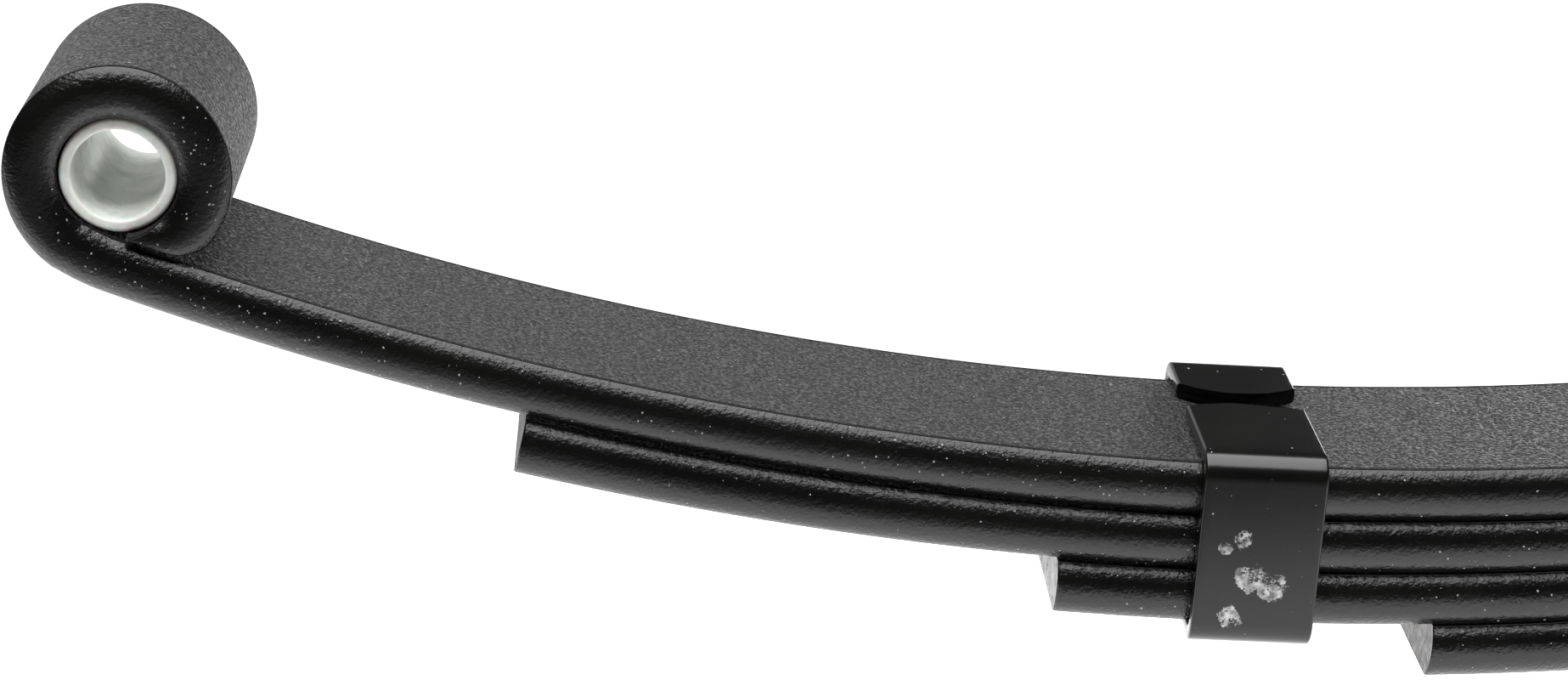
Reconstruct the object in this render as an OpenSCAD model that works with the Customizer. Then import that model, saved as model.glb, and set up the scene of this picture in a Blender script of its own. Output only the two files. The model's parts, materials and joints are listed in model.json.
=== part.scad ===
// Four-leaf double-eye trailer leaf spring.
// Millimetres, +Z up, +X along the spring towards the rear eye, +Y across the leaves.
// The origin is on the centre bolt axis, on the flat seat face under the fourth leaf.

/* [Leaves] */
// distance between the two eye centres
eye_span = 641.4; // [500:0.1:800]
// width of every leaf
leaf_w = 44.45; // [35:0.05:65]
// thickness of every leaf
leaf_t = 8.6; // [5:0.1:12]
// radius of the rounded long edges of the leaves
edge_r = 2; // [0.5:0.1:3]
// radius of the bent part of the main leaf, on its top face
bend_r = 592; // [450:0.5:900]
// half length of the flat seat on the main leaf
seat_half = 38; // [30:0.5:50]
// how much longer each lower leaf keeps its flat seat, on each side
seat_step = 3; // [1:0.5:6]
// half length of the second leaf, measured along X
second_half = 266; // [220:0.5:285]
// half length of the third leaf, measured along X
third_half = 184.5; // [172:0.5:210]
// half length of the fourth leaf, measured along X
fourth_half = 125.5; // [80:0.5:134]
// angle between the cut end of the second leaf and the vertical
second_lean = 21; // [0:1:25]
// angle between the cut end of the third leaf and the vertical
third_lean = 12; // [0:1:20]
// angle between the cut end of the fourth leaf and the vertical
fourth_lean = 14; // [0:1:20]

/* [Eyes and bushings] */
// inside diameter of the rolled eyes
eye_d = 19.05; // [14:0.05:32]
// radius of the tighter bend that leads into an eye, on the top face of the leaf
lead_r = 28; // [20:0.5:60]
// angle turned by the bend that leads into an eye, in degrees
lead_ang = 12.5; // [5:0.5:30]
// how far each tighter bend is set in from the section before it, all round
bend_inset = 0.13; // [0.02:0.01:0.2]
// gap between the rolled end of the main leaf and its own top face
scroll_gap = 1.2; // [0.5:0.05:3]
// radius of the rounded corner at the rolled end
scroll_r = 6; // [3:0.1:8]
// radial clearance between a bushing and its eye
bush_clear = 0.4; // [0.1:0.01:0.5]
// bore of the bushings, for the 14.29 mm shackle bolt
bush_bore = 14.5; // [12:0.01:16]
// length of the bushings
bush_len = 39; // [35:0.05:66]
// chamfer on the rims of the bushings
bush_rim = 0.6; // [0.2:0.1:1.2]

/* [Centre bolt and nut] */
// shank diameter of the centre bolt
bolt_d = 9.525; // [6:0.005:12.7]
// diameter of the round locating head
head_d = 14.29; // [12:0.01:20]
// height of the locating head
head_h = 8; // [4:0.1:12]
// chamfer on the rim of the locating head
head_rim = 1; // [0.3:0.1:2]
// radial clearance of the centre holes in the leaves
bolt_clear = 0.2; // [0.1:0.01:0.5]
// width across the flats of the centre nut
nut_af = 14.29; // [10:0.01:22]
// thickness of the centre nut
nut_h = 8.3; // [5:0.1:12]
// radial clearance between the centre bolt and the bore of its nut
nut_clear = 0.1; // [0.05:0.01:0.3]
// length of thread standing out of the nut
bolt_stand = 3; // [1:0.1:10]

/* [Rebound clips] */
// distance of a clip from the centre bolt, measured along X
clip_x = 149.6; // [130:0.1:160]
// width of the clip strap
clip_w = 19.9; // [12:0.1:22]
// thickness of the clip strap
clip_t = 2.5; // [1.5:0.1:4]
// gap between a clip and the leaves it surrounds
clip_clear = 0.3; // [0.2:0.05:1]
// outside radius of the strap corners
clip_r = 4.2; // [3.5:0.1:6]
// sideways position of the gap between the two folded ears
ear_mid = 4.2; // [-6:0.1:8]
// gap between the tips of the two folded ears
ear_gap = 4.7; // [2:0.1:12]
// radius of the rounded tip of the long ear
ear_long_r = 22; // [10.2:0.1:30]
// radius of the rounded tip of the short ear
ear_short_r = 13.4; // [10.2:0.1:40]
// shank diameter of the clip rivets
rivet_d = 7; // [4:0.1:9]
// head diameter of the clip rivets
rivet_head = 12; // [9:0.1:16]
// height of the domed rivet head
rivet_dome = 3; // [1.5:0.1:5]
// depth of the countersunk rivet head
rivet_sink = 2.4; // [1:0.1:3]
// clearance around a rivet in the third leaf and in the clip strap
rivet_clear = 0.25; // [0.1:0.01:0.5]

/* [Hidden] */
$fn = 96;
half_span = eye_span / 2;
eye_r = eye_d / 2;
eye_out = eye_r + leaf_t - 4 * bend_inset;
eye_rise = eye_r - bend_inset;
stack = 4 * leaf_t;
lead_drop = bend_r - lead_r + bend_inset;
eye_drop = lead_r - eye_rise;
reach = sqrt(pow(lead_drop + eye_drop * cos(lead_ang), 2) + pow(eye_drop * sin(lead_ang), 2));
reach_ang = atan2(eye_drop * sin(lead_ang), lead_drop + eye_drop * cos(lead_ang));
arm_ang = asin((half_span - seat_half) / reach) - reach_ang;
lead_x = seat_half + lead_drop * sin(arm_ang);
lead_z = stack + bend_r - lead_drop * cos(arm_ang);
eye_z = lead_z - eye_drop * cos(arm_ang + lead_ang);
clip_ang = asin((clip_x - seat_half) / bend_r);
clip_z = stack + bend_r * (1 - cos(clip_ang));
hole_r = bolt_d / 2 + bolt_clear;
slot_w = leaf_w + 2 * clip_clear;
clip_lag = 2 * seat_step * cos(clip_ang);
clip_drop = sqrt(pow(bend_r + 3 * leaf_t, 2) - pow(clip_lag, 2)) + 2 * seat_step * sin(clip_ang) - bend_r;
slot_h = clip_drop + 2 * clip_clear;
cut_v = scroll_gap + bend_inset - lead_r + eye_drop * cos(lead_ang);
scroll_v = cut_v + scroll_r;
scroll_c = eye_out + 0.05 - scroll_r;
scroll_u = sqrt(pow(scroll_c, 2) - pow(scroll_v, 2));
scroll_top = scroll_v * eye_out / scroll_c;
bush_r = eye_r - bush_clear;
rivet_low = -clip_drop - clip_clear - clip_t;
rivet_top = -clip_drop + leaf_t - rivet_clear;
ear_long_y = ear_mid - ear_gap / 2;
ear_short_y = ear_mid + ear_gap / 2;

// radius of the top face of leaf k, counted from 0 for the main leaf
function top_r(k) = bend_r + k * leaf_t;

// half length of the flat seat of leaf k
function seat_k(k) = seat_half + k * seat_step;

// height of the top face of leaf k at the seat
function top_z(k) = stack - k * leaf_t;

// section of a leaf, thickness along X starting at x0, width along Y, set in all round
module leaf_section(x0, inset = 0) {
  t = leaf_t - 2 * inset;
  w = leaf_w - 2 * inset;
  translate([x0, edge_r - w / 2]) square([t, w - 2 * edge_r]);
  translate([x0 + edge_r, -w / 2]) square([t - 2 * edge_r, w]);
  for (dx = [edge_r, t - edge_r])
    for (dy = [-1, 1])
      translate([x0 + dx, dy * (w / 2 - edge_r)]) circle(r = edge_r, $fn = 32);
}

// flat seat of leaf k
module leaf_seat(k) {
  translate([-seat_k(k), 0, top_z(k)])
    rotate([0, 90, 0])
      linear_extrude(2 * seat_k(k)) leaf_section(0);
}

// bent arm of leaf k on the rear side, over the given angle
module leaf_arm(k, ang) {
  translate([seat_k(k), 0, top_z(k) + top_r(k)])
    rotate([90, 0, 0])
      rotate_extrude(angle = ang, start = 270, $fn = 720) leaf_section(top_r(k));
}

// cut at the rear end of leaf k, leaning outwards at the bottom
module end_cut(k, half, lean) {
  mid_r = top_r(k) + leaf_t / 2;
  mid_z = top_z(k) + top_r(k) - mid_r * cos(asin((half - seat_k(k)) / mid_r));
  translate([half, 0, mid_z])
    rotate([0, -lean, 0])
      translate([0, -leaf_w, -leaf_t]) cube([3 * leaf_t, 2 * leaf_w, 2 * leaf_t]);
}

// leaf k, cut off at the given half length on both sides
module plain_leaf(k, half, lean) {
  ang = asin((half + leaf_t / 2 - seat_k(k)) / top_r(k));
  difference() {
    union() {
      leaf_seat(k);
      leaf_arm(k, ang);
      mirror([1, 0, 0]) leaf_arm(k, ang);
    }
    translate([0, 0, top_z(k) - leaf_t - 1]) cylinder(r = hole_r, h = leaf_t + 2);
    for (side = [0, 1])
      mirror([side, 0, 0]) end_cut(k, half, lean);
  }
}

// region trimmed off the rolled end, in the eye's own frame
module scroll_cut() {
  difference() {
    translate([-2 * eye_out, -2 * eye_out]) square([2 * eye_out - 1, 2 * eye_out + scroll_top]);
    translate([-scroll_u, cut_v]) square([scroll_u, scroll_r]);
    translate([-scroll_u, scroll_v]) circle(r = scroll_r);
  }
}

// tighter bend that leads into the rear eye
module leaf_lead() {
  translate([lead_x, 0, lead_z])
    rotate([90, 0, 0])
      rotate_extrude(angle = lead_ang + 1, start = 269 + arm_ang, $fn = 180)
        leaf_section(lead_r, bend_inset);
}

// rolled eye on the rear side, with its end trimmed clear of the leaf
module leaf_eye() {
  translate([half_span, 0, eye_z])
    rotate([90, arm_ang, 0])
      difference() {
        rotate_extrude(angle = 351 - lead_ang, start = 269 + lead_ang)
          leaf_section(eye_r, 2 * bend_inset);
        translate([0, 0, -leaf_w]) linear_extrude(2 * leaf_w) scroll_cut();
      }
}

// main leaf with a rolled eye at each end
module main_leaf() {
  color([0.08, 0.08, 0.09])
    difference() {
      union() {
        leaf_seat(0);
        for (side = [0, 1])
          mirror([side, 0, 0]) {
            leaf_arm(0, arm_ang);
            leaf_lead();
            leaf_eye();
          }
      }
      translate([0, 0, stack - leaf_t - 1]) cylinder(r = hole_r, h = leaf_t + 2);
    }
}

// second leaf, stopping short of the eyes
module second_leaf() {
  color([0.09, 0.09, 0.1]) plain_leaf(1, second_half, second_lean);
}

// third leaf, with a countersunk hole for each clip rivet
module third_leaf() {
  color([0.1, 0.1, 0.11])
    difference() {
      plain_leaf(2, third_half, third_lean);
      at_clip() rivet_hole();
      mirror([1, 0, 0]) at_clip() rivet_hole();
    }
}

// fourth and shortest leaf
module fourth_leaf() {
  color([0.11, 0.11, 0.12]) plain_leaf(3, fourth_half, fourth_lean);
}

// centre bolt with a round locating head under the fourth leaf
module centre_bolt() {
  color([0.3, 0.3, 0.31])
    rotate_extrude()
      polygon([
        [0, -head_h],
        [head_d / 2 - head_rim, -head_h],
        [head_d / 2, head_rim - head_h],
        [head_d / 2, 0],
        [bolt_d / 2, 0],
        [bolt_d / 2, stack + nut_h + bolt_stand - 1],
        [bolt_d / 2 - 1, stack + nut_h + bolt_stand],
        [0, stack + nut_h + bolt_stand]
      ]);
}

// hexagon nut on the main leaf, with chamfered corners
module centre_nut() {
  color([0.34, 0.34, 0.35])
    translate([0, 0, stack])
      difference() {
        cylinder(r = nut_af / 2 / cos(30), h = nut_h, $fn = 6);
        translate([0, 0, -1]) cylinder(r = bolt_d / 2 + nut_clear, h = nut_h + 2);
        rotate_extrude()
          polygon([
            [nut_af / 2 - 0.2, nut_h + 0.01],
            [nut_af, nut_h + 0.01],
            [nut_af, nut_h - nut_af / 4]
          ]);
      }
}

// frame of the rear clip: origin on the top face of the main leaf, Z along its normal
module at_clip() {
  translate([seat_half + bend_r * sin(clip_ang), 0, clip_z])
    rotate([0, -clip_ang, 0]) children();
}

// rectangle with rounded corners, centred across and standing on its lower edge
module round_rect(w, h, r) {
  translate([-w / 2, r]) square([w, h - 2 * r]);
  translate([r - w / 2, 0]) square([w - 2 * r, h]);
  for (sx = [-1, 1])
    for (y = [r, h - r])
      translate([sx * (w / 2 - r), y]) circle(r = r, $fn = 48);
}

// opening between the two folded ears, seen from above
module ear_opening() {
  difference() {
    translate([-clip_w / 2 - 0.2, ear_long_y - ear_long_r])
      square([clip_w + 0.4, ear_gap + ear_long_r + ear_short_r]);
    translate([0, ear_long_y - ear_long_r]) circle(r = ear_long_r);
    translate([0, ear_short_y + ear_short_r]) circle(r = ear_short_r);
  }
}

// strap bent round three leaves, its two ears folded over the main leaf
module clip() {
  color([0.07, 0.07, 0.08])
    at_clip()
      difference() {
        translate([-clip_w / 2, 0, -clip_drop - clip_clear])
          rotate([90, 0, 90])
            linear_extrude(clip_w)
              difference() {
                translate([0, -clip_t])
                  round_rect(slot_w + 2 * clip_t, slot_h + 2 * clip_t, clip_r);
                round_rect(slot_w, slot_h, clip_r - clip_t);
              }
        translate([0, 0, -1]) linear_extrude(clip_t + 4) ear_opening();
        translate([0, 0, rivet_low - 1]) cylinder(r = rivet_d / 2 + rivet_clear, h = clip_t + 2);
      }
}

// rebound clip near the front eye
module front_clip() {
  mirror([1, 0, 0]) clip();
}

// rebound clip near the rear eye
module rear_clip() {
  clip();
}

// countersunk hole for a rivet, in the clip's own frame
module rivet_hole() {
  translate([0, 0, rivet_low]) cylinder(r = rivet_d / 2 + rivet_clear, h = clip_drop + clip_t + 1);
  rotate_extrude()
    polygon([
      [0, rivet_top - rivet_sink],
      [rivet_d / 2 + rivet_clear, rivet_top - rivet_sink],
      [rivet_head / 2 + rivet_clear, rivet_top],
      [rivet_head / 2 + rivet_clear, rivet_top + leaf_t / 2],
      [0, rivet_top + leaf_t / 2]
    ]);
}

// rivet with a countersunk head in the third leaf and a domed head under the clip
module rivet() {
  dome_r = (pow(rivet_head / 2, 2) + pow(rivet_dome, 2)) / (2 * rivet_dome);
  color([0.12, 0.12, 0.13])
    at_clip() {
      rotate_extrude()
        polygon([
          [0, rivet_low - 0.5],
          [rivet_d / 2, rivet_low - 0.5],
          [rivet_d / 2, rivet_top - rivet_sink],
          [rivet_head / 2, rivet_top],
          [0, rivet_top]
        ]);
      rotate_extrude()
        intersection() {
          translate([0, rivet_low - rivet_dome + dome_r]) circle(r = dome_r);
          translate([0, rivet_low - rivet_dome - 1]) square([rivet_head, rivet_dome + 1]);
        }
    }
}

// rivet of the front clip
module front_clip_rivet() {
  mirror([1, 0, 0]) rivet();
}

// rivet of the rear clip
module rear_clip_rivet() {
  rivet();
}

// plain bushing with chamfered rims
module bushing() {
  color([0.82, 0.83, 0.8])
    translate([half_span, 0, eye_z])
      rotate([90, 0, 0])
        rotate_extrude()
          polygon([
            [bush_bore / 2 + bush_rim / 2, -bush_len / 2],
            [bush_r - bush_rim, -bush_len / 2],
            [bush_r, bush_rim - bush_len / 2],
            [bush_r, bush_len / 2 - bush_rim],
            [bush_r - bush_rim, bush_len / 2],
            [bush_bore / 2 + bush_rim / 2, bush_len / 2],
            [bush_bore / 2, bush_len / 2 - bush_rim / 2],
            [bush_bore / 2, bush_rim / 2 - bush_len / 2]
          ]);
}

// bushing in the front eye
module front_bushing() {
  mirror([1, 0, 0]) bushing();
}

// bushing in the rear eye
module rear_bushing() {
  bushing();
}

main_leaf();
second_leaf();
third_leaf();
fourth_leaf();
centre_bolt();
centre_nut();
front_clip();
rear_clip();
front_clip_rivet();
rear_clip_rivet();
front_bushing();
rear_bushing();
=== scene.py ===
import json
import math

import bmesh
import bpy
from mathutils import Matrix, Vector


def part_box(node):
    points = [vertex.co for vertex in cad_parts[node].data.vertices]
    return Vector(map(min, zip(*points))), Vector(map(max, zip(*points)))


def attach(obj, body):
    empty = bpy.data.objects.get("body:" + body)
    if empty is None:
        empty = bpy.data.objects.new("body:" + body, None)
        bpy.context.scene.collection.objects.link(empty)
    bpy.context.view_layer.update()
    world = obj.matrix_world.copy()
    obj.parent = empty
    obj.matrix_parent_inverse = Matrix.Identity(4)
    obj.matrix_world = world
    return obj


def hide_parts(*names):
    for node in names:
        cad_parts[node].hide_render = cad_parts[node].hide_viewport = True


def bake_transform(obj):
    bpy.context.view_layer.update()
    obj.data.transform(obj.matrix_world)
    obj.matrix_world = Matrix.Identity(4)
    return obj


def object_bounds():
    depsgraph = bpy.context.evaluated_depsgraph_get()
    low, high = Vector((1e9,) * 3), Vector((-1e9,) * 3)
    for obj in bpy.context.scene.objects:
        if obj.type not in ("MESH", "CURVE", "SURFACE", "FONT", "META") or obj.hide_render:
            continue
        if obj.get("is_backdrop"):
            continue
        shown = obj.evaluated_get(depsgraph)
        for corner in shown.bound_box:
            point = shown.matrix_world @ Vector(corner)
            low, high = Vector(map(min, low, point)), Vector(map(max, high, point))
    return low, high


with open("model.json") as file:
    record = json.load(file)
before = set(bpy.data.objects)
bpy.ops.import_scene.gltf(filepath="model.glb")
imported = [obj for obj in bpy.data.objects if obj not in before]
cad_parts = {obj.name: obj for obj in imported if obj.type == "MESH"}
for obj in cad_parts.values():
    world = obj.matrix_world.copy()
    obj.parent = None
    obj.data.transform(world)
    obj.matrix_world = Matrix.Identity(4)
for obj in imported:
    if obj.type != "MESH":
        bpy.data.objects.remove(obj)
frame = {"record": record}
cad_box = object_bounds()

MM = 0.001

# ---------------------------------------------------------------- sizes
MOUNTS = {m["name"]: m for m in frame["record"]["mounts"]}
EYE_X = MOUNTS["rear_eye_bore"]["pos_m"][0] / MM
EYE_Z = MOUNTS["rear_eye_bore"]["pos_m"][2] / MM
BORE_R = MOUNTS["rear_eye_bore"]["dims"]["r_mm"]
STACK = MOUNTS["ubolt_pad"]["pos_m"][2] / MM
LEAF_T = STACK / 4
LEAF_W = (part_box("second_leaf")[1].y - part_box("second_leaf")[0].y) / MM
BUSH_L = (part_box("rear_bushing")[1].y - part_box("rear_bushing")[0].y) / MM
BUSH_R = (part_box("rear_bushing")[1].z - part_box("rear_bushing")[0].z) / MM / 2
HEAD_H = -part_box("centre_bolt")[0].z / MM
HEAD_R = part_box("centre_bolt")[1].x / MM
NUT_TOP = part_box("centre_nut")[1].z / MM
NUT_AF = (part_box("centre_nut")[1].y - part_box("centre_nut")[0].y) / MM
BOLT_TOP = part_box("centre_bolt")[1].z / MM

# sizes that the frame does not carry, the same as in part.scad
BEND_R = 592.0
SEAT_HALF = 38.0
SEAT_STEP = 3.0
LEAF_HALF = [None, 266.0, 184.5, 125.5]
LEAF_LEAN = [None, math.radians(21), math.radians(12), math.radians(14)]
EYE_R = 9.395
EYE_OUT = 17.605
LEAD_R = 28.0
LEAD_ANG = math.radians(12.5)
INSET = 0.13
SCROLL_GAP = 1.2
SCROLL_R = 6.0

# finish of the leaves, which only this script has: rounded edges over crowned narrow faces, the burr
# of a cut end, and the width of the dark line of painted shade along the wide faces
EDGE_R = 0.4
SIDE_R = 5.5
BURR = 0.25
SHADE_LINE_W = 0.9

CLIP_X = 149.6
CLIP_W = 19.9
CLIP_T = 2.5
CLIP_GAP = 0.3
CLIP_R = 4.2
EAR_MID = 4.2
EAR_GAP = 4.7
EAR_LONG_R = 22.0
EAR_SHORT_R = 13.4
BOLT_R = 4.7625
RIVET_R = 3.5
RIVET_HEAD_R = 6.0
RIVET_DOME = 3.0
STRAP_EDGE_R = 0.45
STRAP_SIDE_R = 4.0

TIP_R = 0.01
SHARP = 40
EAR_LONG_STEPS = 12
EAR_SHORT_STEPS = 8
CORNER_STEPS = 8

LEAD_DROP = BEND_R - LEAD_R + INSET
EYE_DROP = LEAD_R - EYE_R
REACH = math.hypot(LEAD_DROP + EYE_DROP * math.cos(LEAD_ANG), EYE_DROP * math.sin(LEAD_ANG))
REACH_ANG = math.atan2(EYE_DROP * math.sin(LEAD_ANG), LEAD_DROP + EYE_DROP * math.cos(LEAD_ANG))
ARM_ANG = math.asin((EYE_X - SEAT_HALF) / REACH) - REACH_ANG
CLIP_ANG = math.asin((CLIP_X - SEAT_HALF) / BEND_R)
CUT_V = SCROLL_GAP + INSET - LEAD_R + EYE_DROP * math.cos(LEAD_ANG)
SIDES = {"front": -1, "rear": 1}


def circle(count):
    return [2 * math.pi * i / count for i in range(count)]


# ---------------------------------------------------------------- leaf shape
def top_r(k):
    return BEND_R + k * LEAF_T


def seat_end(k):
    return SEAT_HALF + k * SEAT_STEP


def station(x, z, angle, t=LEAF_T):
    """One cross-section: a point of the top face, the direction into the leaf, and the thickness."""
    return {"at": Vector((x, 0, z)), "into": Vector((math.sin(angle), 0, -math.cos(angle))), "t": t}


def arm_station(k, x):
    """The cross-section of leaf k whose top face is at distance x from the centre bolt."""
    angle = math.asin(max(0.0, x - seat_end(k)) / top_r(k))
    return station(x, STACK - k * LEAF_T + top_r(k) * (1 - math.cos(angle)), angle)


def cut_angle(k):
    """Angle along the arc of leaf k to the middle of its cut end."""
    return math.asin((LEAF_HALF[k] - seat_end(k)) / (top_r(k) + LEAF_T / 2))


def arm_end(k):
    """Distance from the centre bolt at which the top face of leaf k ends, before its end is cut."""
    if LEAF_HALF[k] is None:
        return SEAT_HALF + BEND_R * math.sin(ARM_ANG)
    return seat_end(k) + top_r(k) * math.sin(cut_angle(k))


def end_shift(k, depth):
    """How far the cut end of leaf k is moved along the leaf at a depth, from square to its own lean."""
    return (LEAF_T / 2 - depth) * math.tan(cut_angle(k) - LEAF_LEAN[k])


def arm_stations(k, x_from, x_to, step=2.5):
    count = max(2, round((x_to - x_from) / step))
    return [arm_station(k, x_from + (x_to - x_from) * i / count) for i in range(count + 1)]


def lead_stations(count=6):
    """The tighter bend between the arm of the main leaf and its eye."""
    x = SEAT_HALF + (BEND_R - LEAD_R) * math.sin(ARM_ANG)
    z = STACK + BEND_R - (BEND_R - LEAD_R) * math.cos(ARM_ANG)
    made = []
    for i in range(1, count + 1):
        a = ARM_ANG + LEAD_ANG * i / count
        made.append(station(x + LEAD_R * math.sin(a), z - LEAD_R * math.cos(a), a))
    return made


def scroll_reach(turn):
    """How far the trimmed end of the rolled eye reaches from the eye centre, turn measured from the arm."""
    du, dv = math.sin(turn), -math.cos(turn)
    thinning = min(1.0, (turn - LEAD_ANG) / math.radians(50))
    outer = EYE_OUT + (EYE_R + LEAF_T - EYE_OUT) * (1 - thinning) ** 2
    corner_v = CUT_V + SCROLL_R
    corner_u = -math.sqrt((outer - SCROLL_R) ** 2 - corner_v ** 2)
    if turn < 2 * math.pi - math.atan2(-corner_u, -corner_v):
        return outer
    if CUT_V / dv * du > corner_u:
        return CUT_V / dv
    middle = du * corner_u + dv * corner_v
    return middle + math.sqrt(SCROLL_R ** 2 - corner_u ** 2 - corner_v ** 2 + middle ** 2)


def eye_stations(step=3.0):
    """The rolled eye, from the lead-in bend round to the thin trimmed tip."""
    last = 2 * math.pi - math.acos(min(1.0, -CUT_V / (EYE_R + 0.35)))
    count = round(math.degrees(last - LEAD_ANG) / step)
    made = []
    for i in range(1, count + 1):
        turn = LEAD_ANG + (last - LEAD_ANG) * i / count
        a = ARM_ANG + turn
        at = (EYE_X + EYE_R * math.sin(a), EYE_Z - EYE_R * math.cos(a))
        made.append(station(at[0], at[1], a, scroll_reach(turn) - EYE_R))
    return made


def bar_ring(t, width, edge, side_r):
    """Outline of a flat bar's section as (across, depth, flat), flat being 1 on the two wide faces.
    The narrow faces are crowned to the radius side_r, and the edges rounded."""
    edge = min(edge, 0.42 * t)
    half = t / 2
    side_c = width / 2 - side_r
    edge_c = side_c + math.sqrt((side_r - edge) ** 2 - (half - edge) ** 2)
    meet = math.atan2(half - edge, edge_c - side_c)
    # the flat share falls from 1 to 0.8 over the last stretch of each wide face before its rounded edge;
    # paint() turns that band into a dark line of painted shade
    quarter = [(y, half, 1.0) for y in (0, edge_c / 4, edge_c / 2, 3 * edge_c / 4, edge_c - SHADE_LINE_W)]
    for i in range(8):
        a = math.pi / 2 + (meet - math.pi / 2) * i / 8
        quarter.append((edge_c + edge * math.cos(a), half - edge + edge * math.sin(a), 0.8 - 0.8 * i / 7))
    for i in range(9):
        a = meet * (1 - i / 8)
        quarter.append((side_c + side_r * math.cos(a), side_r * math.sin(a), 0.0))
    right = quarter + [(y, -d, f) for y, d, f in reversed(quarter[:-1])]
    ring = right + [(-y, d, f) for y, d, f in reversed(right[1:-1])]
    return [(y, half - d, f) for y, d, f in ring]


# ---------------------------------------------------------------- mesh making
def mesh_object(name, points, faces):
    """A mesh object from points in millimetres."""
    mesh = bpy.data.meshes.new(name)
    mesh.from_pydata([Vector(p) * MM for p in points], [], faces)
    mesh.validate()
    for polygon in mesh.polygons:
        polygon.use_smooth = True
    obj = bpy.data.objects.new(name, mesh)
    bpy.context.scene.collection.objects.link(obj)
    return obj


def keep_place(obj):
    """Stores each point's rest position, so that patterns stay on the steel when it bends."""
    mesh = obj.data
    place = mesh.attributes.new("rest_place", "FLOAT_VECTOR", "POINT")
    for vertex in mesh.vertices:
        place.data[vertex.index].vector = vertex.co
    return obj


def skin(name, rings, ring_flats=None, close_ends=True):
    """A closed surface over rings of equal length, with flat ends."""
    n = len(rings[0])
    points = [p for ring in rings for p in ring]
    faces = []
    for i in range(len(rings) - (1 if close_ends else 0)):
        for j in range(n):
            a, b = i * n + j, i * n + (j + 1) % n
            next_a, next_b = (i + 1) % len(rings) * n + j, (i + 1) % len(rings) * n + (j + 1) % n
            faces.append((a, b, next_b, next_a))
    if close_ends:
        faces.append(list(range(n))[::-1])
        faces.append(list(range(len(points) - n, len(points))))
    obj = mesh_object(name, points, faces)
    if ring_flats:
        attribute = obj.data.attributes.new("flat_face", "FLOAT", "POINT")
        attribute.data.foreach_set("value", [f for ring in ring_flats for f in ring])
    return obj


def sharpen(obj, degrees):
    """Outward faces, with the edges sharper than an angle shaded as edges."""
    bm = bmesh.new()
    bm.from_mesh(obj.data)
    bmesh.ops.recalc_face_normals(bm, faces=bm.faces)
    for edge in bm.edges:
        edge.smooth = len(edge.link_faces) == 2 and edge.calc_face_angle() < math.radians(degrees)
    bm.to_mesh(obj.data)
    bm.free()
    return obj


def sweep(name, stations, side, leaf=None):
    """A closed bar through the stations, on the given side of the spring. Where it ends a leaf, its last
    face has its edge broken and takes the second material, and leaves 1 to 3 have a leaning cut."""
    rings, flats = [], []
    for s in stations:
        ring = bar_ring(s["t"], LEAF_W, EDGE_R, SIDE_R)
        at = [s["at"] + s["into"] * depth for _, depth, _ in ring]
        rings.append([(side * p.x, y, p.z) for p, (y, _, _) in zip(at, ring)])
        flats.append([flat for _, _, flat in ring])
    if leaf is not None:
        along = (Vector(rings[-1][0]) - Vector(rings[-2][0])).normalized()
        if leaf:
            ring = bar_ring(LEAF_T, LEAF_W, EDGE_R, SIDE_R)
            rings[-1] = [Vector(p) + along * end_shift(leaf, d) for p, (_, d, _) in zip(rings[-1], ring)]
        middle = sum((Vector(p) for p in rings[-1]), Vector()) / len(rings[-1])
        rings.append([Vector(p) + (middle - Vector(p)).normalized() * BURR + along * BURR for p in rings[-1]])
        flats.append(flats[-1])
    obj = sharpen(skin(name, rings, flats), SHARP)
    if leaf is not None:
        obj.data.polygons[-1].material_index = 1
    return keep_place(obj)


def arc(centre_r, centre_y, radius, start, end, count=5):
    """Points of a rounded corner, as (radius, along), angles in degrees."""
    angles = [math.radians(start + (end - start) * i / count) for i in range(count + 1)]
    return [(centre_r + radius * math.cos(a), centre_y + radius * math.sin(a)) for a in angles]


def lathe(name, profile, frame_of, turns=96, tube=False):
    """A closed solid turned from (radius, along) points, put in place by frame_of(across, across, along)."""
    rings = []
    for r, h in profile:
        rings.append([frame_of(r * math.cos(a), r * math.sin(a), h) for a in circle(turns)])
    return keep_place(sharpen(skin(name, rings, close_ends=not tube), SHARP))


# ---------------------------------------------------------------- materials
def feed(tree, socket, value):
    """Links a socket to another one, or sets its value."""
    if isinstance(value, bpy.types.NodeSocket):
        tree.links.new(value, socket)
    else:
        socket.default_value = value


def add(tree, kind, values=None, **settings):
    """A node with its settings and inputs; a socket given as a value is linked."""
    made = tree.nodes.new("ShaderNode" + kind)
    for key, value in settings.items():
        setattr(made, key, value)
    for key, value in (values or {}).items():
        feed(tree, made.inputs[key], value)
    return made


def maths(tree, operation, *values):
    return add(tree, "Math", dict(enumerate(values)), operation=operation).outputs[0]


def mixed(tree, share, a, b):
    """Colour a turning into colour b as share goes from 0 to 1."""
    return add(tree, "Mix", {0: share, 6: a, 7: b}, data_type="RGBA").outputs[2]


def ramp(tree, value, low, high, out_low=0.0, out_high=1.0):
    """A value carried from one range to another and held at its ends."""
    made = add(tree, "MapRange", {"Value": value, "From Min": low, "From Max": high,
                                  "To Min": out_low, "To Max": out_high})
    return made.outputs["Result"]


def noise(tree, place, scale, detail=2.0, rough=0.5):
    made = add(tree, "TexNoise", {"Vector": place, "Scale": scale, "Detail": detail, "Roughness": rough})
    return made.outputs["Fac"]


def grey(v):
    return (v, v, v, 1.0)


def new_material(name):
    material = bpy.data.materials.new(name)
    material.use_nodes = True
    tree = material.node_tree
    return material, tree, tree.nodes["Principled BSDF"]


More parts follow.
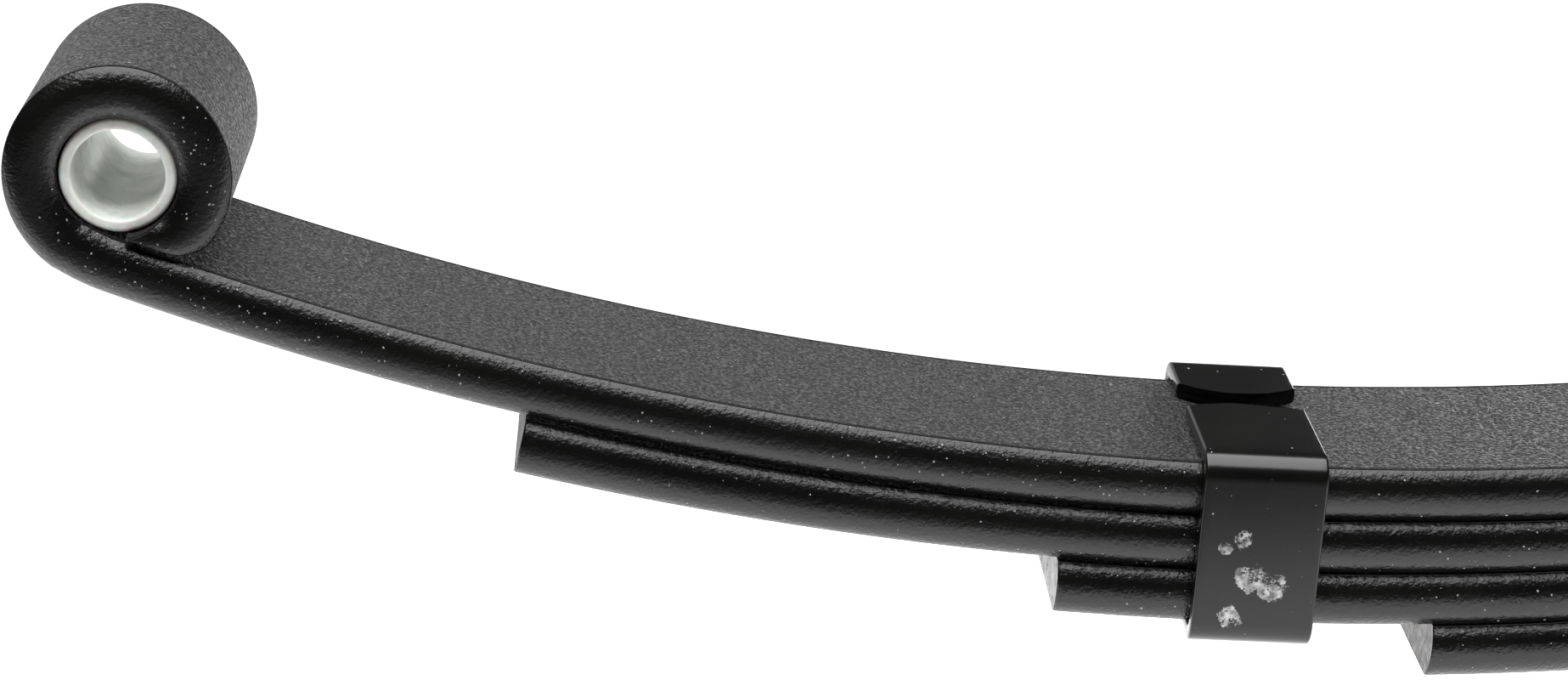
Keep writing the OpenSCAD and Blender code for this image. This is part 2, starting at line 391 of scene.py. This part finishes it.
def place_of(tree, shift):
    """Rest position in metres, shifted so that each piece shows its own stretch of the pattern."""
    at = add(tree, "Attribute", attribute_name="rest_place").outputs["Vector"]
    return add(tree, "VectorMath", {0: at, 1: shift}, operation="ADD").outputs["Vector"]


def specks(tree, place, cell, size, share):
    """Small specks of uneven size: about one in each lit cell, share of the cells being lit."""
    ragged = noise(tree, place, 4.0 / (cell * MM), 2.0, 0.5)
    cells = add(tree, "TexVoronoi", {"Vector": place, "Scale": 1 / (cell * MM), "Randomness": 1.0})
    tone = add(tree, "SeparateColor", {"Color": cells.outputs["Color"]})
    reach = maths(tree, "MULTIPLY", ramp(tree, tone.outputs["Green"], 0, 1, 0.3, 1.0), size / cell)
    reach = maths(tree, "MULTIPLY", reach, ramp(tree, ragged, 0.3, 0.7, 0.5, 1.5))
    near = maths(tree, "LESS_THAN", cells.outputs["Distance"], reach)
    lit = maths(tree, "LESS_THAN", tone.outputs["Red"], share)
    return maths(tree, "MULTIPLY", near, lit)


def worn(tree, place, spots):
    """Ragged chips through the paint round a few places, each given as a point and a reach in mm."""
    ragged = noise(tree, place, 620, 6.0, 0.75)
    total = 0.0
    for point, reach in spots:
        there = add(tree, "VectorMath", {0: place, 1: [c * MM for c in point]}, operation="DISTANCE")
        near = ramp(tree, there.outputs["Value"], 0.4 * reach * MM, reach * MM, 0.56, 0.0)
        total = maths(tree, "MAXIMUM", near, total)
    return ramp(tree, maths(tree, "ADD", ragged, total), 1.0, 1.03)


def paint(name, shift=(0, 0, 0), grain_depth=0.001, dusty=0.9, gloss_range=(0.24, 0.40), spots=()):
    """Black paint over rolled steel: grain on the wide faces, whose pale specks are partly painted
    highlights, with a dark line of painted shade along their edges, dust on the narrow ones, and chips down
    to bare steel at the given spots."""
    material, tree, shader = new_material(name)
    place = place_of(tree, shift)
    flat = add(tree, "Attribute", attribute_name="flat_face").outputs["Fac"]
    grain = noise(tree, place, 1700, 2.0, 0.6)
    peel = noise(tree, place, 800, 2.0, 0.5)
    cloud = noise(tree, place, 45, 3.0, 0.6)
    # the band by the rounded edges of the wide faces where the flat share falls from 1 to 0.8: painted shade,
    # coloured black, also given a groove and rougher paint
    line = maths(tree, "COMPARE", flat, 0.88, 0.07)
    # pale specks of grain on the wide faces, fading over their rounded edges: partly the paint's own grain,
    # partly painted highlights glinting off it
    pale_grain_and_glints = maths(tree, "MULTIPLY", ramp(tree, grain, 0.47, 0.64), flat)
    tone = mixed(tree, pale_grain_and_glints, grey(0.0015), grey(0.045))
    tone = mixed(tree, ramp(tree, cloud, 0.35, 0.75, 0.0, 0.3), tone, (0.010, 0.010, 0.008, 1))
    dust_share = ramp(tree, noise(tree, place, 30, 2.0, 0.5), 0.40, 0.60, 0.04, dusty)
    dust = maths(tree, "ADD", specks(tree, place, 1.1, 0.17, dust_share), specks(tree, place, 4.0, 0.3, 0.1))
    tone = mixed(tree, maths(tree, "MINIMUM", dust, 1.0), tone, grey(0.26))
    # dark line of painted shade along the edges of the wide faces
    tone = mixed(tree, line, tone, grey(0.0))
    rough = ramp(tree, grain, 0.38, 0.6, gloss_range[1] + 0.22, gloss_range[1] - 0.1)
    gloss = add(tree, "Mix", {0: flat, 2: gloss_range[0], 3: rough}).outputs[0]
    gloss = maths(tree, "ADD", gloss, maths(tree, "MULTIPLY", maths(tree, "ADD", dust, line), 0.4))
    height = maths(tree, "ADD", grain, maths(tree, "MULTIPLY", peel, 0.8))
    depth = maths(tree, "MULTIPLY", height, ramp(tree, flat, 0.0, 0.9, 0.1, 1.0))
    depth = maths(tree, "SUBTRACT", depth, line)
    if spots:
        unshifted = add(tree, "VectorMath", {0: place, 1: shift}, operation="SUBTRACT").outputs[0]
        bare = worn(tree, unshifted, spots)
        steel = mixed(tree, ramp(tree, peel, 0.35, 0.65), grey(0.10), grey(0.40))
        tone = mixed(tree, bare, tone, steel)
        tree.links.new(maths(tree, "MULTIPLY", bare, 0.5), shader.inputs["Metallic"])
        depth = maths(tree, "SUBTRACT", depth, bare)
        gloss = maths(tree, "ADD", gloss, maths(tree, "MULTIPLY", bare, 0.25))
    tree.links.new(tone, shader.inputs["Base Color"])
    tree.links.new(gloss, shader.inputs["Roughness"])
    shader.inputs["Specular IOR Level"].default_value = 0.32
    bump = add(tree, "Bump", {"Height": depth, "Distance": grain_depth, "Strength": 1.0})
    tree.links.new(bump.outputs["Normal"], shader.inputs["Normal"])
    return material


def cut_steel(name, bright, rusty):
    """Bare sheared leaf end: drag lines down the cut, grey scale and spots of rust."""
    material, tree, shader = new_material(name)
    place = place_of(tree, (0, 0, 0))
    stretched = add(tree, "Mapping", {"Vector": place, "Scale": (0.15, 1.0, 0.15)}).outputs["Vector"]
    drag = noise(tree, stretched, 1500, 4.0, 0.7)
    scale = noise(tree, place, 500, 4.0, 0.65)
    tone = mixed(tree, ramp(tree, drag, 0.35, 0.7), grey(0.4 * bright), grey(bright))
    tone = mixed(tree, ramp(tree, scale, 0.58, 0.64), tone, grey(0.05))
    rust = ramp(tree, noise(tree, place, 350, 5.0, 0.7), 0.66 - 0.12 * rusty, 0.76 - 0.12 * rusty)
    tone = mixed(tree, maths(tree, "MULTIPLY", rust, 0.7), tone, (0.16, 0.06, 0.03, 1))
    tree.links.new(tone, shader.inputs["Base Color"])
    tree.links.new(ramp(tree, scale, 0.3, 0.7, 0.35, 0.6), shader.inputs["Roughness"])
    tree.links.new(ramp(tree, rust, 0, 1, 0.5, 0.1), shader.inputs["Metallic"])
    bump = add(tree, "Bump", {"Height": maths(tree, "ADD", drag, scale), "Distance": 0.0003, "Strength": 1.0})
    tree.links.new(bump.outputs["Normal"], shader.inputs["Normal"])
    return material


def nylon():
    material, tree, shader = new_material("nylon")
    place = place_of(tree, (0, 0, 0))
    smudge = noise(tree, place, 220, 4.0, 0.65)
    tone = mixed(tree, ramp(tree, smudge, 0.45, 0.8), (0.80, 0.83, 0.79, 1), (0.50, 0.50, 0.46, 1))
    tree.links.new(tone, shader.inputs["Base Color"])
    tree.links.new(ramp(tree, smudge, 0.3, 0.7, 0.34, 0.5), shader.inputs["Roughness"])
    shader.inputs["Subsurface Weight"].default_value = 0.35
    shader.inputs["Subsurface Scale"].default_value = 0.002
    bump = add(tree, "Bump", {"Height": noise(tree, place, 900, 3.0, 0.6), "Distance": 0.00008})
    tree.links.new(bump.outputs["Normal"], shader.inputs["Normal"])
    return material


PAINT = {
    "main_leaf": paint("leaf_paint_1"),
    "second_leaf": paint("leaf_paint_2", (0.31, 0.12, 0.4)),
    "third_leaf": paint("leaf_paint_3", (0.77, 0.42, 0.1)),
    "fourth_leaf": paint("leaf_paint_4", (0.17, 0.92, 0.6)),
}
CHIPS = [((-157.5, -25, 34), 2.5), ((-154.5, -25, 35), 3), ((-154, -25, 28), 5), ((-151, -25, 26.5), 5),
         ((-158, -25, 22), 4)]
CLIP_PAINT = paint("clip_paint", (0.5, 0.2, 0.7), 0.0001, 0.1, (0.22, 0.22), CHIPS)
FASTENER_PAINT = paint("fastener_paint", (0.9, 0.3, 0.2), 0.0001, 0.1, (0.3, 0.3))
CUT_STEEL = [cut_steel("cut_steel_1", 0.1, 0.3), cut_steel("cut_steel_2", 0.1, 0.2),
             cut_steel("cut_steel_3", 0.36, 0.0), cut_steel("cut_steel_4", 0.09, 1.0)]
NYLON = nylon()


def finish_piece(obj, slot, *materials):
    for material in materials:
        obj.data.materials.append(material)
    return obj


# ---------------------------------------------------------------- leaves
LEAVES = ["main_leaf", "second_leaf", "third_leaf", "fourth_leaf"]


def bend_piece(obj, side_name, inner):
    """Bakes the placement of a length of leaf into its mesh."""
    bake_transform(obj)


def make_leaf(k, side_name):
    node = LEAVES[k]
    side = SIDES[side_name]
    end = arm_end(k)
    inner = sweep(node + "_" + side_name + "_inner", arm_stations(k, 0, min(end, CLIP_X)), side,
                  k if end < CLIP_X else None)
    pieces = [(inner, True)]
    if end > CLIP_X:
        stations = arm_stations(k, CLIP_X, end)
        if k == 0:
            stations += lead_stations() + eye_stations()
        outer = sweep(node + "_" + side_name + "_outer", stations, side, k)
        pieces.append((outer, False))
    for obj, is_inner in pieces:
        finish_piece(obj, "leaf_paint", PAINT[node], CUT_STEEL[k])
        bend_piece(obj, side_name, is_inner)
        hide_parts(node)


for leaf_index in range(4):
    for side_word in SIDES:
        make_leaf(leaf_index, side_word)


# ---------------------------------------------------------------- clips and rivets
CLIP_LAG = 2 * SEAT_STEP * math.cos(CLIP_ANG)
CLIP_DROP = math.sqrt(top_r(3) ** 2 - CLIP_LAG ** 2) + 2 * SEAT_STEP * math.sin(CLIP_ANG) - BEND_R
CLIP_TOP = CLIP_GAP + CLIP_T
CLIP_BASE = -CLIP_DROP - CLIP_GAP - CLIP_T


def clip_frame(side):
    """A function from a clip's own frame, Z along the normal of the main leaf, to the spring's frame."""
    x = SEAT_HALF + BEND_R * math.sin(CLIP_ANG)
    z = STACK + BEND_R * (1 - math.cos(CLIP_ANG))
    along = Vector((math.cos(CLIP_ANG), 0, math.sin(CLIP_ANG)))
    normal = Vector((-math.sin(CLIP_ANG), 0, math.cos(CLIP_ANG)))

    def place(u, v, w):
        p = Vector((x, 0, z)) + along * u + normal * w
        return Vector((side * p.x, v, p.z))
    return place


def strap_path():
    """Outer line of the strap as (across, up, outward angle, tip share, tip radius), ear tip to ear tip."""
    half = LEAF_W / 2 + CLIP_GAP + CLIP_T
    top, bottom = CLIP_TOP, CLIP_BASE
    near_tip, far_tip = EAR_MID - EAR_GAP / 2, EAR_MID + EAR_GAP / 2
    corners = [(-1, top, 90, 180), (-1, bottom, 180, 270), (1, bottom, 270, 360), (1, top, 360, 450)]
    path = []
    near_root, far_root = -half + CLIP_R, half - CLIP_R
    for i in range(EAR_LONG_STEPS + 1):
        share = i / EAR_LONG_STEPS
        path.append((near_tip + (near_root - near_tip) * share, top, 90, 1 - share, EAR_LONG_R))
    for number, (sign, level, start, end) in enumerate(corners):
        inward = 1 if level == bottom else -1
        for i in range(0 if number else 1, CORNER_STEPS + 1):
            a = math.radians(start + (end - start) * i / CORNER_STEPS)
            centre = (sign * (half - CLIP_R), level + inward * CLIP_R)
            path.append((centre[0] + CLIP_R * math.cos(a), centre[1] + CLIP_R * math.sin(a),
                         math.degrees(a), 0, 1e6))
    for i in range(1, EAR_SHORT_STEPS + 1):
        share = i / EAR_SHORT_STEPS
        path.append((far_root + (far_tip - far_root) * share, top, 450, share, EAR_SHORT_R))
    return path


def make_clip(side_name):
    place = clip_frame(SIDES[side_name])
    ring = bar_ring(CLIP_T, CLIP_W, STRAP_EDGE_R, STRAP_SIDE_R)
    path = strap_path()
    rings = []
    for index, (v, w, outward, tip, tip_r) in enumerate(path):
        a = math.radians(outward)
        made = []
        for across, depth, _ in ring:
            bow = (tip_r - math.sqrt(tip_r ** 2 - across ** 2)) * tip if tip else 0
            back = bow if index < len(path) / 2 else -bow
            made.append(place(across, v - depth * math.cos(a) - back, w - depth * math.sin(a)))
        rings.append(made)
    obj = keep_place(sharpen(skin(side_name + "_clip_strap", rings, [[0.0] * len(ring)] * len(rings)), SHARP))
    finish_piece(obj, "clip_paint", CLIP_PAINT)
    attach(obj, side_name + "_arm")
    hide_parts(side_name + "_clip")


def make_rivet(side_name):
    """Domed head under the strap, on a shank through the strap and the third leaf."""
    place = clip_frame(SIDES[side_name])
    low = CLIP_BASE
    dome_r = (RIVET_HEAD_R ** 2 + RIVET_DOME ** 2) / (2 * RIVET_DOME)
    edge = math.asin(RIVET_HEAD_R / dome_r)
    profile = [(TIP_R, low - RIVET_DOME + 0.15), (0.8, low - RIVET_DOME + 0.15)]
    for i in range(2, 13):
        a = edge * i / 12
        profile.append((dome_r * math.sin(a), low - RIVET_DOME + dome_r * (1 - math.cos(a))))
    profile += [(RIVET_HEAD_R - 0.2, low), (RIVET_R, low), (RIVET_R, -CLIP_DROP + LEAF_T - 0.6),
                (TIP_R, -CLIP_DROP + LEAF_T - 0.6)]
    obj = lathe(side_name + "_rivet_head", profile, place, turns=48)
    finish_piece(obj, "rivet_paint", CLIP_PAINT)
    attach(obj, side_name + "_arm")
    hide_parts(side_name + "_clip_rivet")


# ---------------------------------------------------------------- bushings and centre bolt
def make_bushing(side_name):
    x = SIDES[side_name] * EYE_X
    half = BUSH_L / 2
    rim, lip = 0.7, 0.45
    quarter = arc(BUSH_R - rim, half - rim, rim, 0, 90) + arc(BORE_R + lip, half - lip, lip, 90, 180)
    profile = quarter + [(r, -y) for r, y in reversed(quarter)]
    obj = lathe(side_name + "_bush_ring", profile, lambda u, v, h: (x + u, h, EYE_Z + v), tube=True)
    finish_piece(obj, "nylon", NYLON)
    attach(obj, side_name + "_eye")
    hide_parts(side_name + "_bushing")


def make_bolt():
    """Round locating head, shank, and a threaded end with a broken tip."""
    pitch, thread_depth = 1.5875, 0.85
    turns, rise = 48, pitch / 8
    head = [(TIP_R, -HEAD_H), (HEAD_R - 2.5, -HEAD_H)] + arc(HEAD_R - 1.0, 1.0 - HEAD_H, 1.0, -90, 0)
    head += [(HEAD_R, -0.3), (HEAD_R - 0.3, 0), (BOLT_R, 0)]
    levels = [STACK - 2 + i * rise for i in range(int((BOLT_TOP - STACK + 2) / rise) + 1)]
    rings = []
    for r, h in head:
        rings.append([(r * math.cos(a), r * math.sin(a), h) for a in circle(turns)])
    for h in levels:
        ring = []
        for a in circle(turns):
            share = (h / pitch - a / (2 * math.pi)) % 1
            groove = thread_depth * min(1.0, 1.25 * abs(2 * share - 1))
            fade = min(1.0, max(0.0, (h - STACK + 2) / pitch))
            tip = max(0.0, h - BOLT_TOP + 1.0)
            r = max(1.0, BOLT_R - groove * fade - tip)
            ring.append((r * math.cos(a), r * math.sin(a), h))
        rings.append(ring)
    rings.append([(TIP_R * math.cos(a), TIP_R * math.sin(a), BOLT_TOP) for a in circle(turns)])
    obj = keep_place(sharpen(skin("centre_bolt_body", rings), SHARP))
    finish_piece(obj, "bolt_steel", FASTENER_PAINT)
    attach(obj, "root")
    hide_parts("centre_bolt")


def make_nut():
    """Hexagon nut with its corners chamfered on both faces and a countersunk bore."""
    flat_r, bore = NUT_AF / 2, BOLT_R + 0.1
    height = NUT_TOP - STACK
    rings = []
    for level, radius in ((0.0, bore + 0.7), (0.0, flat_r - 0.3), (0.12, None), (0.88, None),
                          (1.0, flat_r - 0.3), (1.0, bore + 0.7), (0.92, bore), (0.08, bore)):
        ring = []
        for a in circle(96):
            wedge = math.radians(math.degrees(a) % 60 - 30)
            corner = flat_r / math.cos(wedge)
            r, h = radius, level * height
            if radius is None:
                drop = (corner - flat_r + 0.3) * math.tan(math.radians(30))
                r, h = corner, drop if level < 0.5 else height - drop
            ring.append((r * math.cos(a), r * math.sin(a), STACK + h))
        rings.append(ring)
    obj = keep_place(sharpen(skin("centre_nut_body", rings, close_ends=False), 25))
    finish_piece(obj, "nut_steel", FASTENER_PAINT)
    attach(obj, "root")
    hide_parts("centre_nut")


for side_word in SIDES:
    make_clip(side_word)
    make_rivet(side_word)
    make_bushing(side_word)
make_bolt()
make_nut()


# ---------------------------------------------------------------- camera, floor and light
def make_camera():
    """Camera at the photograph's angle, found by matching the spring's outline."""
    yaw, pitch, roll = -0.00829, 0.327117, -0.135813
    ahead = Vector((math.sin(yaw) * math.cos(pitch), math.cos(yaw) * math.cos(pitch), -math.sin(pitch)))
    level = Vector((math.cos(yaw), -math.sin(yaw), 0))
    upright = level.cross(ahead)
    right = math.cos(roll) * level + math.sin(roll) * upright
    up = math.cos(roll) * upright - math.sin(roll) * level
    turn = Matrix((right, up, -ahead)).transposed().to_4x4()
    data = bpy.data.cameras.new("camera")
    data.sensor_width = 36
    data.lens = 86.62294
    data.clip_start = 0.05
    camera = bpy.data.objects.new("camera", data)
    camera.matrix_world = Matrix.Translation(Vector((-217.945, -580.322, 266.839)) * MM) @ turn
    bpy.context.scene.collection.objects.link(camera)
    bpy.context.scene.camera = camera


def make_floor():
    """White table, lit from within under and behind the spring, where the glow washes out the spring's
    shadow, and grey in front of it, where it barely glows.
    """
    half, z = 4000, -HEAD_H - 0.1
    glow_front, glow_under, glow_back = 0.1, 2.6, 1.05
    floor = mesh_object("floor", [(-half, -half, z), (half, -half, z), (half, half, z), (-half, half, z)],
                        [(0, 1, 2, 3)])
    material, tree, shader = new_material("glowing_floor")
    place = add(tree, "SeparateXYZ", {"Vector": add(tree, "NewGeometry").outputs["Position"]})
    front = add(tree, "MapRange", {"Value": place.outputs["Y"], "From Min": -0.20, "From Max": -0.05,
                                   "To Min": glow_front, "To Max": glow_under},
                interpolation_type="SMOOTHSTEP")
    under = ramp(tree, place.outputs["Y"], 0.06, 0.18, glow_under, glow_back)
    back = maths(tree, "ADD", under, ramp(tree, place.outputs["Y"], 0.8, 1.3, 0.0, -0.5))
    # painted light: the floor's glow is strongest under the spring, washing out its shadow, and weak in front
    # of it
    tree.links.new(maths(tree, "MINIMUM", front.outputs["Result"], back), shader.inputs["Emission Strength"])
    shader.inputs["Base Color"].default_value = grey(0.15)
    shader.inputs["Emission Color"].default_value = grey(1.0)
    shader.inputs["Roughness"].default_value = 0.9
    shader.inputs["Specular IOR Level"].default_value = 0.1
    floor.data.materials.append(material)
    floor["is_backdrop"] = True


def area_light(name, place, target, width, height, watts):
    data = bpy.data.lights.new(name, "AREA")
    data.shape = "RECTANGLE"
    data.size, data.size_y = width, height
    data.energy = watts
    light = bpy.data.objects.new(name, data)
    light.location = place
    light.rotation_euler = (Vector(target) - Vector(place)).to_track_quat("-Z", "Y").to_euler()
    bpy.context.scene.collection.objects.link(light)


make_camera()
make_floor()
area_light("overhead", (-0.15, -0.1, 1.0), (-0.15, -0.1, 0), 1.1, 1.2, 34)
area_light("behind", (-1.6, 1.9, 0.6), (-1.6, 0, 0.6), 3.4, 1.2, 9.5)
area_light("window", (0.45, 1.5, 0.1), (-0.3, 0, 0.1), 0.4, 0.2, 1.7)
world = bpy.data.worlds.new("studio")
bpy.context.scene.world = world
world.use_nodes = True
world.node_tree.nodes["Background"].inputs["Color"].default_value = grey(1.0)
world.node_tree.nodes["Background"].inputs["Strength"].default_value = 0.05
bpy.context.scene.view_settings.view_transform = "Standard"

boxes = {"cad": cad_box, "visual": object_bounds()}
{k: [list(corner) for corner in v] for k, v in boxes.items()}
